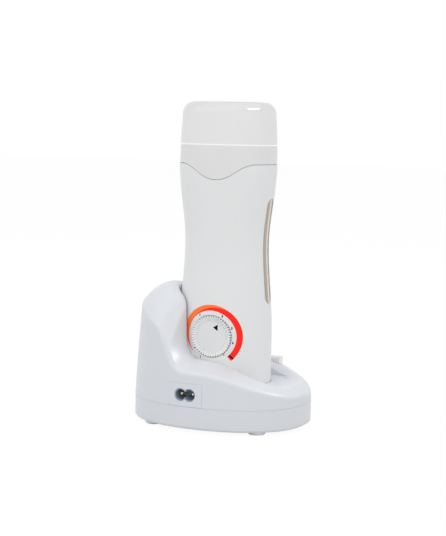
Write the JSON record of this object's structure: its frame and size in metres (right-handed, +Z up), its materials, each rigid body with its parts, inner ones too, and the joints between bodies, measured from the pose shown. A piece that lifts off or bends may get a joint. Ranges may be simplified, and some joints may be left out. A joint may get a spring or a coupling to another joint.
{
  "type": "roll on wax heater",
  "caption": "Waisted upright handle with a heated cartridge well, temperature dial, level window and frosted lift-off cap, standing in a mains dock with a tall rear collar.",
  "frame": {"origin": "on the table, at the centre of the dock's plan outline", "axes": "+Z up, -Y towards the dial side, +X towards the side with the level window"},
  "size_m": [0.1321, 0.1048, 0.2345],
  "materials": {
    "dock_plastic": "smooth moulded, slight gloss",
    "handle_plastic": "smooth moulded, satin",
    "neck_plastic": "fine satin",
    "cap_plastic": "frosted translucent",
    "dial_plastic": "satin",
    "slider_plastic": "satin, ribbed",
    "ring_colour": "printed colour on a smooth strip",
    "window_tint": "tinted clear",
    "dark_insulator": "fine texture",
    "switch_plastic": "fine texture",
    "seat_plastic": "heat resistant, unpainted",
    "foot_rubber": "matt",
    "mat_silicone": "woven-faced silicone",
    "screw_steel": "zinc plated",
    "plated_pin": "nickel plated",
    "contact_brass": "bright",
    "chamber_aluminium": "drawn, bright",
    "fuse_metal": "bright can with lead wires"
  },
  "bodies": {
    "dock": {"base_top_shell": "dock_plastic", "base_bottom_shell": "dock_plastic", "rubber_feet": "foot_rubber", "base_screws": "screw_steel", "inlet_bezel": "dock_plastic", "inlet_socket": "dark_insulator", "inlet_pins": "plated_pin", "dock_connector": "dark_insulator", "dock_contacts": "contact_brass", "switch_body": "switch_plastic"},
    "switch": {"switch_slider": "slider_plastic"},
    "handle": {"handle_front_shell": "handle_plastic", "handle_rear_shell": "handle_plastic", "handle_screws": "screw_steel", "handle_bottom_cover": "handle_plastic", "handle_inlet": "dark_insulator", "handle_contacts": "contact_brass", "neck_ring": "neck_plastic", "heating_chamber": "chamber_aluminium", "heating_mats": "mat_silicone", "chamber_seat": "seat_plastic", "thermal_fuse": "fuse_metal", "window_lens": "window_tint", "scale_ring": "ring_colour", "thermostat_body": "switch_plastic", "thermostat_bracket": "screw_steel", "bracket_screws": "screw_steel"},
    "dial": {"dial_knob": "dial_plastic", "thermostat_shaft": "contact_brass"},
    "cap": {"cap": "cap_plastic"}
  },
  "joints": [
    {"name": "handle_lift", "type": "slide", "parent": "dock", "child": "handle", "axis": [0, 0, 1], "range_m": [0, 0.1]},
    {"name": "cap_lift", "type": "slide", "parent": "handle", "child": "cap", "axis": [0, 0, 1], "range_m": [0, 0.05]},
    {"name": "dial_turn", "type": "hinge", "parent": "handle", "child": "dial", "pos_m": [0.0001, -0.0244, 0.0657], "axis": [0, 1, 0], "range_deg": [-160, 116]},
    {"name": "switch_slide", "type": "slide", "parent": "dock", "child": "switch", "axis": [1, 0, 0], "range_m": [-0.004, 0]}
  ]
}
